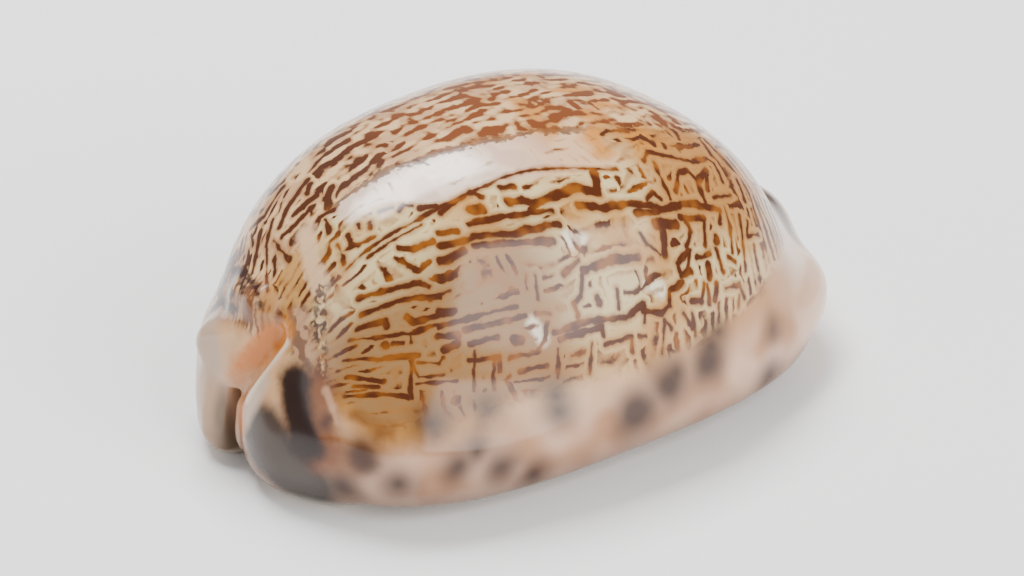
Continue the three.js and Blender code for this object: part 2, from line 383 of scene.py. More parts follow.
def make_surface_tree(material):
    inputs = [("Geometry", "NodeSocketGeometry", None), ("Voxel", "NodeSocketFloat", VOXEL),
              ("Evening Rounds", "NodeSocketInt", EVENING_ROUNDS), *OPENING_INPUTS]
    b, given, finish = new_group("cowrie_surface", inputs, [("Geometry", "NodeSocketGeometry")])
    sizes = {name: given[name] for name, _, _ in OPENING_INPUTS}
    position = b.node("GeometryNodeInputPosition")
    counts = [b.math("CEIL", (high - low) / given["Voxel"]) for low, high in zip(REACH_LOW, REACH_HIGH)]
    density = -ask(b, position, sizes)
    volume = b.node("GeometryNodeVolumeCube", sockets={
        "Density": density, "Background": -1.0, "Min": REACH_LOW, "Max": REACH_HIGH,
        "Resolution X": counts[0], "Resolution Y": counts[1], "Resolution Z": counts[2]})
    shape = b.node("GeometryNodeVolumeToMesh", {"resolution_mode": "GRID"},
                   {"Volume": volume, "Threshold": 0.0, "Adaptivity": 0.0})
    for _ in range(PASSES):
        evened = b.node("GeometryNodeBlurAttribute", {"data_type": "FLOAT_VECTOR"},
                        {"Value": position, "Iterations": given["Evening Rounds"]})
        shape = b.node("GeometryNodeSetPosition", sockets={"Geometry": shape, "Position": evened})
        for _ in range(PASSES):
            shape = b.node("GeometryNodeSetPosition",
                           sockets={"Geometry": shape, "Position": settle(b, position, sizes)})
    inner = ask(b, position, sizes, out=1) < CHAMBER["skin"]
    shape = b.node("GeometryNodeStoreNamedAttribute", {"data_type": "FLOAT", "domain": "POINT"},
                   {"Geometry": shape, "Name": "inside", "Value": inner})
    shape = b.node("GeometryNodeSetShadeSmooth", sockets={"Geometry": shape, "Shade Smooth": True})
    in_metres = b.scale(position, 1.0 / METRE)
    shape = b.node("GeometryNodeSetPosition", sockets={"Geometry": shape, "Position": in_metres})
    shape = b.node("GeometryNodeRealizeInstances", sockets={"Geometry": shape})
    shape = b.node("GeometryNodeSetMaterial", sockets={"Geometry": shape, "Material": material})
    b.tree.links.new(shape.socket, finish.inputs["Geometry"])
    return b.tree


# %% Grow the shell
enamel = bpy.data.materials.new("enamel")
enamel.use_nodes = True
surface_tree = make_surface_tree(enamel)


def set_input(modifier, name, value):
    """Sets a tree's named input on a modifier through the socket's identifier."""
    items = modifier.node_group.interface.items_tree
    identifier = next(item.identifier for item in items if item.name == name and item.in_out == "INPUT")
    modifier[identifier] = value


def freeze(name, source):
    """The evaluated object as a plain mesh object of its own, in place of the source."""
    evaluated = source.evaluated_get(bpy.context.evaluated_depsgraph_get())
    mesh = bpy.data.meshes.new_from_object(evaluated)
    for modifier in list(source.modifiers):
        source.modifiers.remove(modifier)
    bpy.data.objects.remove(source)
    made = bpy.data.objects.new(name, mesh)
    bpy.context.scene.collection.objects.link(made)
    return made


def grow(name, tree, values):
    """Evaluates a tree on an empty mesh."""
    seed = bpy.data.objects.new(name + "_seed", bpy.data.meshes.new(name + "_seed"))
    bpy.context.scene.collection.objects.link(seed)
    modifier = seed.modifiers.new("tree", "NODES")
    modifier.node_group = tree
    for label, value in values.items():
        set_input(modifier, label, value)
    return freeze(name, seed)


rough_shell = grow("rough_shell", surface_tree, {"Voxel": VOXEL})
print("grown:", len(rough_shell.data.vertices), "points")

# %% [markdown]
# ## Few faces where nobody looks
#
# The chamber inside is seen only as a dark gap behind the teeth. The grid gave it as many faces as
# the outside, so a Decimate modifier thins it, held to the chamber by a vertex group. Then the
# shell is set in the solid's box.

# %% Thin the chamber and set the shell in its box
CHAMBER_KEPT = 0.12
BOX_MARGIN = 0.00001


def thin_chamber(piece):
    """Thins the chamber. The points' marks are copied first: filling the group moves the mesh's data."""
    inside = [item.value > 0.5 for item in piece.data.attributes["inside"].data]
    group = piece.vertex_groups.new(name="chamber")
    group.add([index for index, marked in enumerate(inside) if marked], 1.0, "REPLACE")
    thin = piece.modifiers.new("thin", "DECIMATE")
    thin.vertex_group = "chamber"
    thin.ratio = 1.0 - (1.0 - CHAMBER_KEPT) * sum(inside) / len(inside)
    return freeze("cowrie_shell", piece)


def corners(mesh):
    points = [vertex.co for vertex in mesh.vertices]
    low = Vector([min(point[axis] for point in points) for axis in range(3)])
    high = Vector([max(point[axis] for point in points) for axis in range(3)])
    return low, high


def fit_to_box(piece, low, high):
    """Scales the piece a hair, if it has to be, and centres it in the box, standing on its floor."""
    own_low, own_high = corners(piece.data)
    size, own_size = high - low, own_high - own_low
    factor = min(1.0, *((size[axis] - 2 * BOX_MARGIN) / own_size[axis] for axis in range(3)))
    shift = (low + high) / 2 - factor * (own_low + own_high) / 2
    shift.z = low.z + BOX_MARGIN - factor * own_low.z
    for vertex in piece.data.vertices:
        vertex.co = vertex.co * factor + shift
    return factor, shift


shell = thin_chamber(rough_shell)
box_low, box_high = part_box("shell")
factor, shift = fit_to_box(shell, box_low, box_high)
triangles = sum(len(face.vertices) - 2 for face in shell.data.polygons)
print("shell:", triangles, "triangles, scaled by", round(factor, 5))
print("shifted by, mm:", [round(1000 * v, 3) for v in shift])

# %% [markdown]
# ## A map of the skin
#
# The mantle of the living animal paints the shell as it creeps over the back from both sides, so the
# markings run along the shell and step round it. The shader therefore works with the rule's own
# millimetres: how far along, and how far round from the outer rim. A slow warp (wander) bends the
# rows, and a fine one (fray) keeps every line unsteady, as paint laid by a soft edge would be.

# %% A map of the skin
def paint(code):
    """A colour from its six-digit screen code."""
    shares = [int(code[place:place + 2], 16) / 255 for place in (0, 2, 4)]
    return (*[((share + 0.055) / 1.055) ** 2.4 for share in shares], 1.0)


def coat_over(b, under, over, share):
    """Lays one colour over another; share is how much of the upper one is seen."""
    settings = {"data_type": "RGBA"}
    return b.node("ShaderNodeMix", settings, {0: share, 6: under, 7: over}, out=2)


def coats_over(b, under, coats):
    """Lays several colours one over the other; each coat is a screen code and its share."""
    for code, share in coats:
        under = coat_over(b, under, paint(code), share)
    return under


def grain(b, vector, pitch, detail, seed):
    """Cloudy values from 0 to 1; pitch is the size of a cloud in millimetres."""
    moved = b.vector("ADD", vector, (seed, 0.37 * seed, -0.61 * seed))
    sockets = {"Vector": moved, "Scale": 1.0 / pitch, "Detail": detail}
    return b.node("ShaderNodeTexNoise", sockets=sockets)


def warp(b, vector, scale, detail):
    """A cloudy vector whose parts swing about zero."""
    sockets = {"Vector": vector, "Scale": scale, "Detail": detail}
    cloudy = b.node("ShaderNodeTexNoise", sockets=sockets, out=1)
    return b.vector("SUBTRACT", cloudy, (0.5, 0.5, 0.5))


def streaks(b, vector, cell, pitch, turn):
    """Broken stripes at a pitch, in millimetres; turn is the way that the stripes follow each other."""
    sockets = {0: vector, 1: 1.0 / cell, 2: cell / pitch, 3: 1.0, 4: turn}
    return b.node("ShaderNodeTexGabor", {"gabor_type": "2D"}, sockets)


b = Bench(enamel.node_tree)
where = b.node("ShaderNodeTexCoord", out="Object")
centred = b.vector("SUBTRACT", where, tuple(shift))
skin = b.scale(centred, METRE / factor)
along, across, height = b.split(skin)
ROUND_RADIUS = 18.0
AXIS_HEIGHT = 8.0
AXIS_SIDE = -1.5
around = b.math("ARCTAN2", height - AXIS_HEIGHT, AXIS_SIDE - across) * ROUND_RADIUS
WANDER, FRAY = 3.0, 0.45
wander = warp(b, skin, 0.16, 1.0)
wander_x, wander_y, wander_z = b.split(wander)
fray = warp(b, skin, 1.3, 2.0)
fray_x, fray_y, fray_z = b.split(fray)
map_x = along + WANDER * wander_x + FRAY * fray_x
map_y = around + WANDER * wander_y + FRAY * fray_y
print("map of the skin:", len(b.tree.nodes), "nodes")

# %% [markdown]
# ## Markings that fill the back
#
# The markings are broken stripes along the shell that turn into short cross bars in patches, and
# more of them near the front. They could be two textures, but then they would lie over each other.
# So there is one set of soft waves, whose direction is switched from patch to patch, and one
# threshold that cuts lines from it. The threshold moves with a slow cloud, which makes some places
# dense and leaves others bare. A pale band shows where the two sides of the mantle met. On top,
# beyond the band, the cloud counts for more and a fine grain breaks the stripes into flecks.

# %% Markings that fill the back
BAND_START, BAND_END = -24.0, 4.0
CELL, PITCH = 2.0, 1.4
LONG_STEP, WIDE_STEP = 0.45, 0.5
band_low = 21.0 + 3.6 * b.ramp(-along, 16.0, 22.0) - 0.2 * b.math("MAXIMUM", along + 13.0, 0.0)
band_high = 27.6 - 0.19 * (along + 22.5)
over_band = around - band_high + 1.6 * fray_y + 1.2 * wander_x
under_band = around - band_low + 0.5 * fray_x
band_run = b.ramp(along + 0.4 * fray_z, BAND_START - 0.8, BAND_START + 0.8)
band_run = band_run * (1.0 - b.ramp(along, BAND_END - 3.0, BAND_END + 3.0))
band = b.ramp(under_band, -0.4, 0.6) * (1.0 - b.ramp(over_band, -0.5, 0.5)) * band_run
top = b.ramp(over_band, -0.4, 0.8)

patch = grain(b, skin, 4.0, 1.0, 7.0)
to_front = b.ramp(along, -6.0, 16.0)
turned = patch + 0.16 * to_front - 0.10 * top > 0.58
way_x = map_x * b.choose(turned, 1.0, LONG_STEP + 0.2 * top)
way_y = map_y * b.choose(turned, WIDE_STEP, 1.0)
wave = streaks(b, b.join(way_x, way_y, 0.0), CELL, PITCH, (math.pi / 2) * (1.0 - turned))
crowd = grain(b, skin, 3.2, 1.0, 21.0)
cut = 0.57 - 0.03 * top - 0.03 * to_front + (0.42 + 0.25 * top) * (crowd - 0.5)
flecks = grain(b, skin, 1.2, 0.0, 81.0) - 0.5
inked = wave - cut + 0.2 * fray_z + 0.6 * top * flecks
print("band and waves:", len(b.tree.nodes), "nodes")

# %% [markdown]
# ## Lines drawn one by one
#
# The side that is seen first carries lines with a character of their own: long dashes at the blunt
# end, the fine double line under the band, a dark crossbar with pillars, and drips over the rim.
# Noise never gives those, so they are drawn as short runs of points on the map of the skin. The
# shader takes the distance to the nearest run, and the waves keep clear of it.

# %% Lines drawn one by one
DRAWN_LINES = [
    (0.16, [(-26.8, 21.4), (-25.4, 21.5), (-22.8, 21.3), (-19.8, 20.9), (-17.0, 20.8), (-14.9, 20.7)]),
    (0.12, [(-25.0, 20.8), (-22.3, 20.6), (-19.5, 20.3)]),
    (0.32, [(-22.4, 19.8), (-21.4, 18.8), (-19.5, 18.6)]),
    (0.28, [(-27.2, 18.0), (-25.3, 17.0), (-22.5, 16.1), (-21.9, 15.4)]),
    (0.28, [(-27.7, 16.4), (-25.8, 15.9), (-23.8, 15.3), (-21.3, 14.2)]),
    (0.28, [(-24.6, 13.9), (-24.2, 13.2), (-20.7, 12.5)]),
    (0.20, [(-29.2, 14.6), (-27.4, 13.4), (-24.9, 12.3), (-22.5, 12.1), (-20.6, 11.6)]),
    (0.16, [(-24.8, 12.3), (-25.0, 11.5)]),
    (0.24, [(-30.1, 12.7), (-27.8, 11.1), (-24.6, 10.0)]),
    (0.20, [(-24.8, 9.3), (-23.1, 8.6), (-22.7, 9.0)]),
    (0.16, [(-25.3, 9.7), (-26.3, 6.0)]),
    (0.20, [(-25.3, 9.1), (-25.1, 7.9), (-23.0, 7.4)]),
    (0.36, [(-30.3, 10.4), (-28.1, 8.5)]),
    (0.24, [(-30.2, 8.9), (-28.6, 8.1)]),
    (0.28, [(-31.2, 8.0), (-28.4, 7.1), (-26.7, 6.2)]),
    (0.20, [(-25.4, 7.3), (-21.9, 6.5)]),
    (0.28, [(-27.0, 12.4), (-26.9, 12.1)]),
    (0.28, [(-26.3, 12.1), (-25.6, 11.8)]),
    (0.28, [(-28.3, 15.2), (-26.4, 14.5), (-26.4, 13.9)]),
    (0.36, [(-22.6, 11.1), (-20.9, 10.5)]),
    (0.36, [(-22.4, 9.7), (-21.1, 9.9)]),
    (0.28, [(-17.3, 20.4), (-16.6, 20.5), (-13.3, 20.7), (-12.7, 20.0)]),
    (0.12, [(-13.3, 20.7), (-10.0, 20.7), (-6.8, 20.5), (-2.8, 19.6), (3.1, 17.8)]),
    (0.24, [(-10.3, 20.0), (-8.9, 19.6)]),
    (0.44, [(-14.6, 19.4), (-13.4, 19.0)]),
    (0.44, [(-10.6, 18.6), (-9.1, 18.2), (-8.0, 17.6), (-4.8, 17.7), (-2.5, 17.6), (-1.0, 16.7)]),
    (0.50, [(0.2, 18.0), (-0.7, 16.7)]),
    (0.28, [(-15.6, 18.4), (-12.4, 17.8), (-6.7, 16.7)]),
    (0.32, [(-19.2, 18.0), (-17.1, 17.4), (-15.8, 17.3), (-11.8, 16.1), (-8.2, 15.8), (-6.8, 15.5)]),
    (0.36, [(-19.9, 16.9), (-18.8, 16.6), (-17.4, 16.7)]),
    (0.32, [(-16.3, 16.7), (-12.9, 15.7), (-8.3, 14.5)]),
    (0.32, [(-18.6, 18.9), (-17.0, 18.3)]),
    (0.32, [(-3.7, 16.3), (-0.9, 15.4), (2.1, 15.1), (4.6, 14.3), (5.9, 13.7), (8.4, 13.7),
            (10.8, 13.1), (13.3, 12.2), (12.5, 11.3)]),
    (0.28, [(2.2, 14.2), (4.3, 13.8), (7.5, 13.8)]),
    (0.44, [(4.8, 12.8), (3.7, 10.7)]),
    (0.44, [(3.9, 13.0), (6.5, 12.3)]),
    (0.28, [(7.4, 12.7), (10.5, 12.0), (9.2, 10.1)]),
    (0.28, [(7.9, 12.2), (8.0, 11.5), (6.8, 10.5)]),
    (0.20, [(1.7, 12.6), (2.0, 11.8), (3.1, 10.7)]),
    (0.32, [(6.8, 10.2), (4.9, 9.5), (5.0, 8.7), (6.3, 8.7)]),
    (0.24, [(5.0, 8.1), (3.0, 7.9), (2.6, 6.8), (1.5, 6.4), (-0.7, 7.1)]),
    (0.24, [(-6.4, 11.7), (-7.5, 10.0), (-8.5, 9.6), (-8.4, 8.6)]),
    (0.36, [(-6.4, 11.7), (-2.8, 11.6), (0.4, 11.1)]),
    (0.32, [(-21.9, 13.0), (-20.5, 12.6)]),
    (0.28, [(-22.3, 11.8), (-20.2, 11.6), (-14.6, 11.0)]),
    (0.28, [(-20.1, 10.7), (-13.9, 10.0)]),
    (0.32, [(-20.0, 9.4), (-17.3, 9.2)]),
    (0.28, [(-12.8, 10.0), (-11.4, 9.6)]),
    (0.28, [(-11.9, 8.9), (-12.5, 7.8), (-13.3, 7.1)]),
    (0.44, [(-15.7, 8.5), (-14.9, 8.3)]),
    (0.28, [(-10.9, 7.3), (-8.2, 7.2), (-5.9, 7.1), (-5.9, 6.4)]),
    (0.28, [(-11.4, 8.0), (-7.0, 7.9), (-2.9, 7.1), (-0.6, 7.7)]),
    (0.28, [(-8.6, 12.0), (-6.5, 12.5)]),
    (0.36, [(-5.7, 9.3), (-5.5, 9.0)]),
    (0.20, [(-12.6, 13.0), (-13.0, 12.1)]),
    (0.24, [(-11.7, 12.6), (-12.2, 10.9)]),
    (0.20, [(-3.2, 9.4), (-3.5, 8.0)]),
    (0.16, [(-0.3, 7.7), (-0.8, 6.2)]),
    (0.16, [(1.7, 5.8), (0.8, 3.3)]),
    (0.16, [(1.7, 5.8), (2.4, 5.0)]),
    (0.24, [(7.0, 17.9), (8.2, 18.6), (9.8, 18.0), (13.3, 16.7), (16.0, 16.8), (16.6, 16.3),
            (16.0, 14.4)]),
    (0.24, [(8.1, 17.5), (7.7, 16.6), (7.3, 14.3)]),
    (0.20, [(4.3, 14.8), (5.5, 15.3), (6.1, 14.5)]),
    (0.28, [(8.5, 14.7), (10.3, 16.1), (11.8, 16.1), (12.1, 15.2), (11.7, 13.3)]),
    (0.32, [(12.5, 15.1), (14.6, 15.8), (13.0, 14.1)]),
    (0.20, [(18.9, 14.4), (18.2, 12.3)]),
    (0.16, [(13.2, 13.3), (16.2, 13.1)]),
    (0.16, [(14.2, 12.3), (13.8, 10.6), (12.9, 8.8)]),
    (0.16, [(16.0, 11.2), (15.1, 9.4), (14.2, 6.9)]),
    (0.16, [(17.0, 10.5), (16.1, 9.4), (18.2, 9.1)]),
    (0.36, [(11.2, 10.3), (11.1, 10.1)]),
    (0.28, [(7.5, 9.4), (9.6, 9.3)]),
    (0.28, [(7.0, 10.1), (5.9, 8.8)]),
    (0.44, [(8.8, 8.6), (8.7, 7.7)]),
    (0.28, [(10.6, 9.3), (10.7, 7.7)]),
    (0.20, [(12.0, 8.6), (12.9, 7.9)]),
    (0.24, [(7.7, 7.2), (6.9, 6.2), (5.6, 6.4)]),
    (0.20, [(8.1, 7.1), (7.9, 5.7)]),
    (0.28, [(9.4, 6.9), (8.8, 5.8)]),
    (0.20, [(10.6, 6.3), (12.8, 6.0), (13.2, 4.9)]),
    (0.16, [(9.2, 5.4), (8.8, 4.0)]),
    (0.16, [(12.5, 5.2), (12.0, 4.3)]),
    (0.16, [(5.3, 5.5), (5.4, 3.7)]),
    (0.16, [(4.3, 5.8), (5.1, 4.3)]),
    (0.24, [(-20.4, 8.0), (-17.5, 7.5), (-17.7, 6.3)]),
    (0.16, [(-19.7, 8.7), (-20.6, 5.2)]),
    (0.16, [(-18.0, 7.7), (-18.6, 4.9)]),
    (0.24, [(-16.5, 7.1), (-13.3, 6.9)]),
    (0.16, [(-11.3, 6.6), (-11.8, 4.3)]),
    (0.16, [(-7.4, 6.1), (-8.2, 3.7)]),
    (0.20, [(-15.7, 5.8), (-12.7, 5.6)]),
    (0.20, [(-9.9, 5.7), (-8.4, 5.7)]),
    (0.20, [(-5.9, 5.7), (-2.6, 5.5), (-2.8, 4.4)]),
    (0.20, [(-22.2, 14.4), (-20.3, 14.3)]),
    (0.50, [(-22.2, 29.8), (-23.2, 29.3), (-23.9, 28.4)]),
    (0.36, [(-23.9, 27.7), (-25.0, 28.4), (-26.2, 28.0)]),
    (0.24, [(-24.9, 27.6), (-25.6, 26.1)]),
    (0.36, [(-22.7, 32.4), (-23.5, 31.9)]),
    (0.36, [(-23.5, 30.7), (-24.8, 31.3), (-25.8, 31.7)]),
    (0.36, [(-22.4, 33.2), (-25.5, 33.1), (-27.0, 32.7)]),
    (0.16, [(-25.1, 34.4), (-25.8, 34.1)]),
    (0.32, [(-25.7, 30.4), (-26.9, 30.9), (-27.6, 31.6)]),
    (0.20, [(-26.2, 29.6), (-26.2, 28.5)]),
    (0.64, [(-27.2, 29.4), (-27.5, 29.6)]),
    (0.20, [(-26.7, 34.4), (-28.5, 33.6), (-30.3, 31.4), (-31.5, 29.2)]),
    (0.32, [(-27.7, 35.8), (-28.7, 35.2), (-30.4, 34.6)]),
    (0.20, [(-27.6, 37.7), (-28.5, 36.4)]),
    (0.20, [(-27.6, 38.9), (-28.7, 38.5), (-29.3, 39.2)]),
    (0.20, [(-28.1, 32.6), (-28.6, 30.5), (-28.8, 28.6)]),
    (0.28, [(-29.2, 31.2), (-30.0, 30.0)]),
    (0.20, [(-31.6, 26.4), (-31.8, 24.3)]),
    (0.20, [(-30.9, 24.7), (-31.3, 23.4)]),
    (0.24, [(-23.4, 36.1), (-26.2, 36.4), (-27.0, 38.5)]),
    (0.20, [(-26.0, 24.3), (-26.3, 22.9), (-26.7, 22.1)]),
    (0.20, [(-24.9, 24.1), (-25.3, 23.1), (-24.9, 22.4)]),
    (0.16, [(-26.4, 23.4), (-25.4, 22.9)]),
    (0.16, [(-23.6, 24.2), (-23.8, 23.8)]),
    (0.16, [(-22.9, 23.5), (-23.2, 23.0)]),
    (0.20, [(-21.5, 23.7), (-20.5, 23.3)]),
    (0.24, [(-20.2, 22.6), (-19.5, 22.8), (-19.0, 22.3)]),
    (0.28, [(-18.5, 21.7), (-17.2, 21.1)]),
    (0.16, [(-26.3, 23.3), (-24.4, 22.3), (-23.4, 22.0)])]


def levels(b, point):
    """Three vectors that hold x, y and z of a point in each of their places."""
    return [b.join(axis, axis, axis) for axis in b.split(point)]


def distance_to_piece(b, point, level, start, end):
    """Distance to a straight piece, nearly: it is walked along its longest side, so that one Map
    Range node finds the place on it that is level with the point."""
    sides = [abs(last - first) for first, last in zip(start, end)]
    longest = sides.index(max(sides))
    goal = end if sides[longest] > 0.1 else (start[0] + 0.1, *start[1:])
    ranges = {6: level[longest], 7: [start[longest]] * 3, 8: [goal[longest]] * 3, 9: start, 10: goal}
    there = b.node("ShaderNodeMapRange", {"data_type": "FLOAT_VECTOR", "clamp": True}, ranges, out=1)
    return b.vector("DISTANCE", point, there, out="Value")


def near(b, point, level, start, end, radius, softness, share=1.0):
    """A share inside a radius of a straight piece and 0 beyond, with a soft edge."""
    gap = distance_to_piece(b, point, level, start, end)
    settings = {"interpolation_type": "SMOOTHSTEP"}
    limits = {1: radius + softness, 2: radius - softness, 3: 0.0, 4: share}
    return b.node("ShaderNodeMapRange", settings, {0: gap, **limits})


def least(b, values):
    nearest = values[0]
    for value in values[1:]:
        nearest = b.math("MINIMUM", nearest, value)
    return nearest


def make_lines_group(name, half_width, runs):
    """A shader group that gives the distance from a point of the map to the edge of a line."""
    b, given, finish = new_group(name, [("Point", "NodeSocketVector", None)],
                                 [("Distance", "NodeSocketFloat")], "ShaderNodeTree")
    point = given["Point"]
    level = levels(b, point)
    gaps = []
    for run in runs:
        flat = [(*place, 0.0) for place in run]
        gaps.extend(distance_to_piece(b, point, level, *ends_of) for ends_of in zip(flat, flat[1:]))
    b.tree.links.new((least(b, gaps) - half_width).socket, finish.inputs["Distance"])
    return b.tree


pen = b.join(along + 0.3 * fray_x, around + 0.3 * fray_y, 0.0)
gaps = []
for half_width in sorted({line[0] for line in DRAWN_LINES}):
    runs = [run for width, run in DRAWN_LINES if width == half_width]
    lines_group = make_lines_group("drawn_lines", half_width, runs)
    gaps.append(b.node("ShaderNodeGroup", {"node_tree": lines_group}, {"Point": pen}))
to_line = least(b, gaps)
to_line = to_line + 0.6 * (grain(b, skin, 1.6, 1.0, 51.0) - 0.49)
drawn = 1.0 - b.ramp(to_line, -0.07, 0.10)
drawn_fringe = 1.0 - b.ramp(to_line, 0.0, 0.45)
clear = 1.0 - b.ramp(to_line, 0.3, 0.7)

band_edge = (1.0 - b.ramp(abs(over_band) + 0.5 * crowd, 0.5, 0.8)) * band_run
inked = inked - 0.26 * clear - 0.22 * band
dark = b.math("MAXIMUM", b.math("MAXIMUM", b.ramp(inked, -0.03, 0.06), drawn), 0.8 * band_edge)
fringe = b.math("MAXIMUM", b.ramp(inked, -0.18, 0.0), drawn_fringe)
print("lines drawn:", len(DRAWN_LINES), "and", len(b.tree.nodes), "nodes")

# %% [markdown]
# ## Ground of the back
#
# Under the markings lies a tan ground, browner low down and near the spire, golden towards the
# front and paler at the front end. On top it is warmer, under a thin brown veil, and in the band it
# is pinkish. A few places are nearly white. Each line has a golden fringe, because the brown was
# laid thinner at its edges.

# %% Ground of the back
tint = grain(b, skin, 8.0, 1.0, 3.0)
low_down = 1.0 - b.ramp(height, 12.0, 20.0)
near_spire = b.ramp(-along, 4.0, 14.0) * (1.0 - b.ramp(around, 14.0, 20.0))
near_front = b.ramp(along, 1.0, 9.0) * b.ramp(around, 9.0, 13.0)
far_front = b.ramp(along, 15.0, 25.0)
veil = b.ramp(patch, 0.44, 0.58) * top
ground = coats_over(b, paint("d2ba88"), [
    ("bd8c50", b.ramp(tint, 0.42, 0.62)), ("b8844c", 0.6 * low_down), ("8a6238", 0.9 * near_spire),
    ("ac7436", 0.9 * near_front), ("c9a684", 0.6 * far_front), ("ddb484", top), ("ae805c", 0.6 * veil)])
band_tone = coats_over(b, paint("ecd4c2"), [
    ("d9ae86", b.ramp(along, -14.0, 0.0)), ("cba08e", 0.5 * b.ramp(crowd, 0.50, 0.64))])
ground = coat_over(b, ground, band_tone, 0.95 * band)
PALE_PLACES = [((-13.4, 9.2), (-12.7, 7.9)), ((-6.6, 14.2), (-5.2, 14.0)), ((0.8, 8.9), (1.9, 8.2))]
pen_level = levels(b, pen)
for start, end in PALE_PLACES:
    pale = near(b, pen, pen_level, (*start, 0.0), (*end, 0.0), 0.7, 0.4, 0.85)
    ground = coat_over(b, ground, paint("eadfc8"), pale)
gold = b.ramp(grain(b, skin, 5.0, 1.0, 33.0), 0.44, 0.60)
gold_run = b.ramp(along, -4.0, 1.0) * (1.0 - b.ramp(along, 9.0, 14.0))
front_gold = gold * gold_run * b.ramp(around, 17.0, 20.0)
ground = coat_over(b, ground, paint("c47a1e"), 0.8 * front_gold)
thin_paint = b.ramp(grain(b, skin, 2.2, 1.0, 44.0), 0.45, 0.70)
line_colour = coat_over(b, paint("4c2000"), paint("864a0a"), thin_paint)
top_line = coat_over(b, paint("743a10"), paint("4a2208"), b.ramp(-along, 8.0, 20.0))
line_colour = coat_over(b, line_colour, top_line, top)
marked = coat_over(b, ground, paint("98622a"), 0.65 * fringe)
marked = coat_over(b, marked, line_colour, dark)
print("ground and lines laid:", len(b.tree.nodes), "nodes")

# %% [markdown]
# ## The growth scar
#
# Near the spire end the shell once stopped growing for a while. A thin jagged pale line with dark crumbs
# on both sides is left across the markings, with a smooth tan shoulder above it and a marbled patch
# behind it. The pale line is partly the scar's own cream colour and partly a painted highlight along its
# ridge. The points are shaken by the fine warp, which makes every edge ragged.

# %% The growth scar
shaken = b.vector("ADD", skin, b.scale(fray, 1.6))
shaken_level = levels(b, shaken)
shoulder = near(b, shaken, shaken_level, (-26.6, -1.4, 25.6), (-28.9, -6.0, 22.8), 1.4, 0.6, 0.92)
marked = coat_over(b, marked, paint("d6ae86"), shoulder)
marble = b.ramp(grain(b, skin, 1.3, 1.0, 61.0), 0.47, 0.55)
behind_scar = near(b, shaken, shaken_level, (-31.0, -5.8, 19.2), (-33.0, -8.6, 14.2), 1.4, 0.6, 0.85)
marked = coat_over(b, marked, paint("b98e6c"), behind_scar)
marked = coat_over(b, marked, paint("56362c"), 0.85 * behind_scar * marble)
SCAR = [((-29.1, -6.8, 22.6), (-30.6, -8.4, 19.2)), ((-30.6, -8.4, 19.2), (-31.9, -10.3, 15.1)),
        ((-31.9, -10.3, 15.1), (-32.9, -12.2, 12.3))]
crumbs = b.ramp(grain(b, skin, 0.8, 1.0, 71.0), 0.42, 0.54)
for start, end in SCAR:
    beside = near(b, shaken, shaken_level, start, end, 0.7, 0.25, 0.85)
    marked = coat_over(b, marked, paint("3c2018"), crumbs * beside)
    # A pale line along the scar: partly its cream colour and partly a painted highlight on its ridge.
    scar_line_and_highlight = near(b, shaken, shaken_level, start, end, 0.16, 0.12, 0.8)
    marked = coat_over(b, marked, paint("d9ab72"), scar_line_and_highlight)
print("scar:", len(SCAR), "pieces")

# %% [markdown]
# ## Callus and its spots
#
# The rim and the base are covered by a thick callus, laid last, which buries the ends of the markings.
# It is peach above, pale at the front end and amber along its upper edge near the spire. Low on the rim
# it is greyer and darker, and darker still at its bottom edge, which is painted shade under the curving
# base. Its spots lie deep in it and look blurred. They are set one by one, because their places are the
# most telling thing about the rim, and are mirrored on the far side.

# %% Callus and its spots
RIM_SPOTS = [
    ((-33.2, -15.2, 4.8), 1.6), ((-32.0, -17.3, 8.5), 1.5), ((-29.8, -20.0, 6.0), 1.4),
    ((-25.7, -20.4, 11.7), 1.2), ((-24.5, -23.1, 7.0), 1.5), ((-22.4, -23.7, 8.2), 1.3),
    ((-19.7, -24.5, 5.8), 1.5), ((-16.0, -25.0, 4.2), 1.4), ((-19.8, -22.3, 11.9), 0.9),
    ((-12.4, -24.1, 11.6), 1.2), ((-12.7, -24.6, 10.2), 1.3), ((-3.2, -26.2, 7.2), 2.1),
    ((0.9, -26.1, 9.0), 1.9), ((1.9, -26.0, 10.0), 1.4), ((6.6, -26.0, 9.6), 1.9),
    ((7.4, -25.8, 10.8), 1.5), ((8.8, -25.5, 12.2), 1.0), ((16.9, -24.7, 9.4), 0.9),
    ((16.0, -25.4, 4.5), 1.4)]
SPOT_GROWTH = 1.3
SPOT_BLEND = 1.5
SPOT_SOFTNESS = 2.1


def spots(b, point, places, softness):
    """1 inside the spots and 0 outside, with blurred edges."""
    nearest = None
    for place, radius in places:
        reach = b.vector("DISTANCE", point, place, out="Value") - SPOT_GROWTH * radius
        nearest = reach if nearest is None else b.math("SMOOTH_MIN", nearest, reach, SPOT_BLEND)
    return 1.0 - b.ramp(nearest, -softness, softness)


wobble = b.vector("ADD", skin, b.scale(wander, 1.5))
outer_half = b.math("MINIMUM", across, -1.08 * across - 3.0)
mirrored = b.vector("ADD", wobble, b.join(0.0, outer_half - across, 0.0))
spot_share = spots(b, mirrored, RIM_SPOTS, SPOT_SOFTNESS)
cloud = grain(b, skin, 7.0, 1.0, 12.0)
callus_colour = coat_over(b, paint("a87650"), paint("cca286"), b.ramp(cloud, 0.32, 0.60))
high_rim = b.ramp(height, 8.0, 13.0)
rim_tone = coat_over(b, paint("d2a270"), paint("ae7840"), b.ramp(along, 0.0, 8.0))
callus_colour = coat_over(b, callus_colour, rim_tone, 0.8 * high_rim)
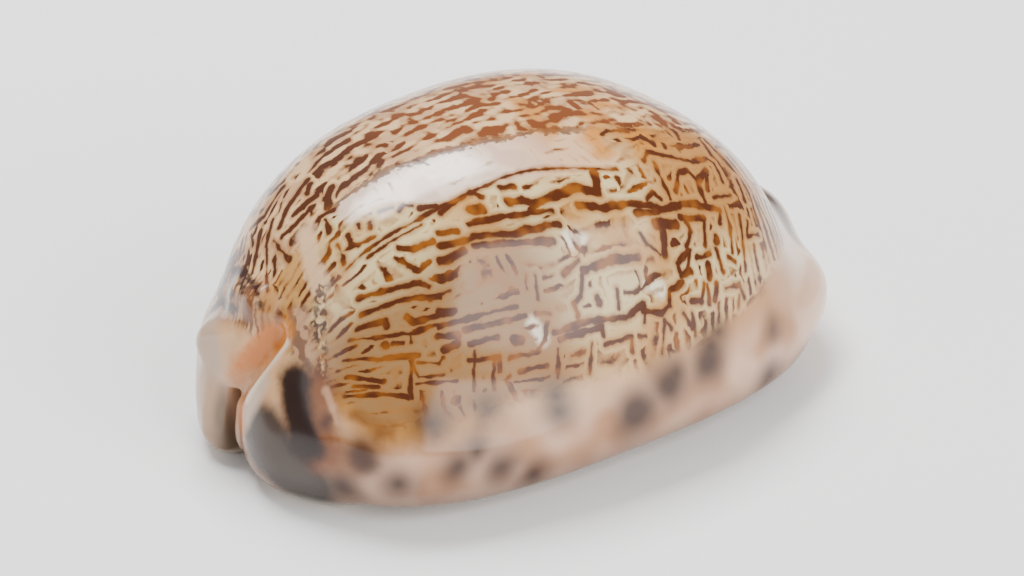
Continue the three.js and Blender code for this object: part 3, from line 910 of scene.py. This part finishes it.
# Painted shade: the callus is greyed and darkened low on the rim and darker still at its bottom edge,
# where the curving base is in shade.
painted_shade_low_rim = 1.0 - b.ramp(height, 1.5, 8.0)
painted_shade_foot = 1.0 - b.ramp(height, 0.5, 5.0)
front_end = b.ramp(along, 20.0, 31.0)
callus_edge = 11.8 + 1.8 * b.ramp(along, 0.0, 20.0) + 5.0 * b.ramp(-along, 30.0, 34.5)
callus_edge = callus_edge + 2.0 * wander_z + 1.2 * fray_z
over_edge = height - callus_edge
buried = 1.0 - b.ramp(over_edge, -0.8, 1.2)
amber = b.ramp(over_edge, -3.5, -0.5) * b.ramp(-along, 14.0, 27.0) * b.ramp(-across, 8.0, 12.0)
# The first two coats below are painted shade; the rest are the callus's own colours.
callus_colour = coats_over(b, callus_colour, [
    ("866c5e", 0.75 * painted_shade_low_rim), ("5e4a3e", 0.6 * painted_shade_foot), ("dcbaa0", 0.8 * front_end),
    ("a06a28", 0.85 * amber), ("5a2c08", 0.6 * amber * b.ramp(crowd, 0.44, 0.68))])
base_colour = coat_over(b, marked, callus_colour, buried)
base_colour = coat_over(b, base_colour, paint("2c1206"), 0.95 * spot_share)
print("callus and", len(RIM_SPOTS), "spots laid")

# %% [markdown]
# ## Colours of the spire end and of the slit
#
# The blunt end has colours of its own: a salmon groove, a grey lobe with a burnt blotch, a pale tip, a
# drip below the scar, and dark rings round the buried spire. The grey lobe is darkened further with
# painted shade, low on the blunt end. The front lobe has one dark patch.
# Each is a soft region round a short rod in the shape rule's space, with its radius, softness and
# share. Wide regions get an unsteady edge. The base is pale, and the teeth are chestnut on their
# crests.

# %% Colours of the spire end and of the slit
END_COLOURS = [
    ("94603c", (-31.0, 0.2, 18.4), (-31.2, 6.5, 16.0), 2.6, 1.2, 0.8),
    ("b09682", (-32.9, 7.6, 12.2), (-33.4, 6.6, 11.6), 3.4, 1.2, 0.85),
    ("b08c66", (-35.0, 6.0, 3.0), (-35.0, 6.0, 8.0), 2.6, 1.5, 0.7),
    # The outer lobe's dark grey is partly its own grey and partly painted shade.
    ("2c2420", (-36.6, -6.4, 7.0), (-35.4, -10.6, 3.8), 4.0, 1.2, 0.94),
    ("c4ab96", (-34.6, -3.6, 12.2), (-35.6, -2.4, 8.0), 1.1, 0.8, 0.9),
    ("c67c46", (-34.8, 0.4, 12.0), (-35.8, -1.0, 7.2), 1.6, 0.8, 0.85),
    ("c8701e", (-35.4, 0.2, 10.8), (-32.6, -3.0, 16.6), 1.9, 0.5, 0.95),
    ("c8761c", (-32.5, -3.9, 16.6), (-31.9, -4.4, 17.8), 1.2, 0.9, 0.85),
    ("dcc6ae", (-32.2, -5.1, 16.6), (-35.4, -2.0, 9.8), 0.45, 0.35, 0.9),
    ("6c3400", (-33.0, -10.0, 13.0), (-33.8, -12.8, 8.8), 2.9, 1.4, 0.88),
    ("3a1404", (-33.1, -12.9, 11.5), (-33.3, -12.7, 11.0), 0.7, 0.8, 0.85),
    ("2a0e06", (-34.5, -12.0, 8.8), (-34.2, -12.7, 8.2), 1.0, 0.9, 0.85),
    ("42200c", (-32.1, -17.1, 8.6), (-31.9, -17.4, 8.3), 1.3, 1.2, 0.88),
    ("1c0601", (-33.4, -7.9, 13.6), (-34.6, -10.8, 8.6), 2.3, 1.0, 0.98),
    ("b98a66", (-32.2, -11.4, 13.8), (-32.5, -12.7, 12.6), 0.5, 0.3, 0.75),
    ("b98a66", (-32.5, -12.7, 12.6), (-32.7, -13.8, 11.4), 0.28, 0.25, 0.75),
    ("6b5a48", (-35.6, 2.6, 8.6), (-34.4, 3.0, 2.0), 1.1, 0.7, 0.8),
    ("1c0b06", (32.4, -7.4, 12.9), (32.2, -11.2, 10.8), 1.7, 1.5, 0.9)]
STEADY_RADIUS = 1.2
unsteady = b.vector("ADD", wobble, b.scale(fray, 0.6))
unsteady_level = levels(b, unsteady)
skin_level = levels(b, skin)
for code, start, end, radius, softness, share in END_COLOURS:
    wide = radius > STEADY_RADIUS
    point, level = (unsteady, unsteady_level) if wide else (skin, skin_level)
    here = near(b, point, level, start, end, radius, softness, share)
    base_colour = coat_over(b, base_colour, paint(code), here)

SPIRE_RING = [
    ((-30.0, 9.4, 16.2), (-29.5, 8.6, 18.5), 0.45), ((-29.5, 8.6, 18.5), (-30.5, 4.5, 20.3), 0.5),
    ((-30.5, 4.5, 20.3), (-31.7, 0.7, 20.6), 0.35), ((-31.7, 0.7, 20.6), (-32.4, -1.1, 19.4), 0.3),
    ((-30.6, 6.7, 18.3), (-32.1, 4.3, 18.2), 0.4), ((-31.2, 3.9, 19.9), (-32.1, 2.3, 19.5), 0.4),
    ((-31.1, 9.6, 13.9), (-31.0, 8.4, 15.4), 0.7), ((-31.0, 8.4, 15.4), (-32.9, 2.6, 17.6), 0.4)]
for start, end, radius in SPIRE_RING:
    here = near(b, shaken, shaken_level, start, end, 1.25 * radius, 0.3, 0.92)
    base_colour = coat_over(b, base_colour, paint("30100a"), here)

from_middle = abs(across - slit_middle(b, along))
outer_side = across < slit_middle(b, along)
crest = b.choose(outer_side, comb(b, along, OUTER_TEETH), comb(b, along, INNER_TEETH))
toothed = (1.0 - b.ramp(from_middle, 4.0, 6.0)) * (1.0 - b.ramp(height, 3.0, 6.0))
base_colour = coats_over(b, base_colour, [
    ("e2d2c0", 0.9 * (1.0 - b.ramp(height, 0.2, 1.6))),
    ("8a4a24", 0.75 * b.ramp(crest, 0.5, 0.9) * toothed)])

principled = enamel.node_tree.nodes["Principled BSDF"]
b.tree.links.new(base_colour.socket, principled.inputs["Base Color"])
ENAMEL_ROUGHNESS, ENAMEL_IOR = 0.16, 1.5
principled.inputs["Roughness"].default_value = ENAMEL_ROUGHNESS
principled.inputs["IOR"].default_value = ENAMEL_IOR
print("enamel:", len(b.tree.nodes), "nodes")

# %% [markdown]
# ## Back to the frame
#
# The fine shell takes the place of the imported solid. It is one piece that rides on the root body,
# and its enamel is the part's only colour slot.

# %% Tie the shell to the frame
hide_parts("shell")
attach(shell, "root")

# %% [markdown]
# ## A small studio
#
# Gloss shows only what it mirrors. Three soft lamps stand where the bright patches on the shell ask
# for them: a long one overhead, whose mirror image lies along the band, a large one at the right for
# the veil over the middle, and a weak one at the left. The camera looks down at the blunt end and
# the outer lip with a long lens.

# %% Floor and sky
FLOOR_HALF = 2.0
PAPER = dict(grey=0.95, roughness=0.8)
SKY_STRENGTH = 0.4


def flat_square(name, half):
    corners_of = [(-half, -half, 0.0), (half, -half, 0.0), (half, half, 0.0), (-half, half, 0.0)]
    mesh = bpy.data.meshes.new(name)
    mesh.from_pydata(corners_of, [], [(0, 1, 2, 3)])
    made = bpy.data.objects.new(name, mesh)
    bpy.context.scene.collection.objects.link(made)
    return made


floor = flat_square("floor", FLOOR_HALF)
paper = bpy.data.materials.new("paper")
paper.use_nodes = True
paper_shader = paper.node_tree.nodes["Principled BSDF"]
paper_shader.inputs["Base Color"].default_value = (*[PAPER["grey"]] * 3, 1.0)
paper_shader.inputs["Roughness"].default_value = PAPER["roughness"]
floor.data.materials.append(paper)

world = bpy.data.worlds.new("studio")
bpy.context.scene.world = world
world.use_nodes = True
background = world.node_tree.nodes["Background"]
background.inputs["Color"].default_value = (1, 1, 1, 1)
background.inputs["Strength"].default_value = SKY_STRENGTH
print("floor", 2 * FLOOR_HALF, "m wide, sky strength", SKY_STRENGTH)

# %% Lamps and camera
def softbox(name, place, target, size, power, long_side):
    """A lamp that faces its target, with its long side turned as near as it goes to a direction."""
    light = bpy.data.lights.new(name, "AREA")
    light.shape = "RECTANGLE"
    light.size, light.size_y = size
    light.energy = power
    made = bpy.data.objects.new(name, light)
    behind = (place - target).normalized()
    short_side = behind.cross(long_side).normalized()
    made.matrix_world = Matrix((short_side.cross(behind), short_side, behind)).transposed().to_4x4()
    made.location = place
    bpy.context.scene.collection.objects.link(made)
    return made


AZIMUTH = math.radians(-39.3)
ELEVATION = math.radians(27.8)
DISTANCE = 0.4955
PIVOT = shift + Vector((0.0, 0.0, 0.015))
LAMP_DISTANCE = 0.6
AIM_RIGHT = 0.00122
AIM_UP = -0.00454
FOCAL_LENGTH = 163.6
level_away = Vector((math.sin(AZIMUTH), -math.cos(AZIMUTH), 0.0))
away = math.cos(ELEVATION) * level_away + Vector((0.0, 0.0, math.sin(ELEVATION)))
right = Vector((math.cos(AZIMUTH), math.sin(AZIMUTH), 0.0))
up = away.cross(right)


def place_light(name, sideways, upwards, backwards, size, power, long_side=right):
    """A softbox round the shell, in a direction told as the camera sees it."""
    direction = (sideways * right + upwards * up + backwards * away).normalized()
    return softbox(name, PIVOT + LAMP_DISTANCE * direction, PIVOT, size, power, long_side)


along_band = 0.84 * right - 0.54 * away
place_light("overhead", -0.20, 0.95, 0.05, (0.44, 0.21), 6.3, along_band)
place_light("right", 0.65, 0.12, 0.73, (0.56, 0.60), 5.2)
place_light("left", -0.76, 0.12, 0.60, (0.26, 0.45), 0.6)

camera = bpy.data.objects.new("camera", bpy.data.cameras.new("camera"))
bpy.context.scene.collection.objects.link(camera)
camera.data.lens = FOCAL_LENGTH
camera.data.sensor_width = 36.0
camera.data.clip_start, camera.data.clip_end = 0.01, 10.0
camera.location = PIVOT + away * DISTANCE
aim = PIVOT + AIM_RIGHT * right + AIM_UP * up
camera.rotation_euler = (aim - camera.location).to_track_quat("-Z", "Y").to_euler()
bpy.context.scene.camera = camera
print("camera at", [round(v, 3) for v in camera.location])
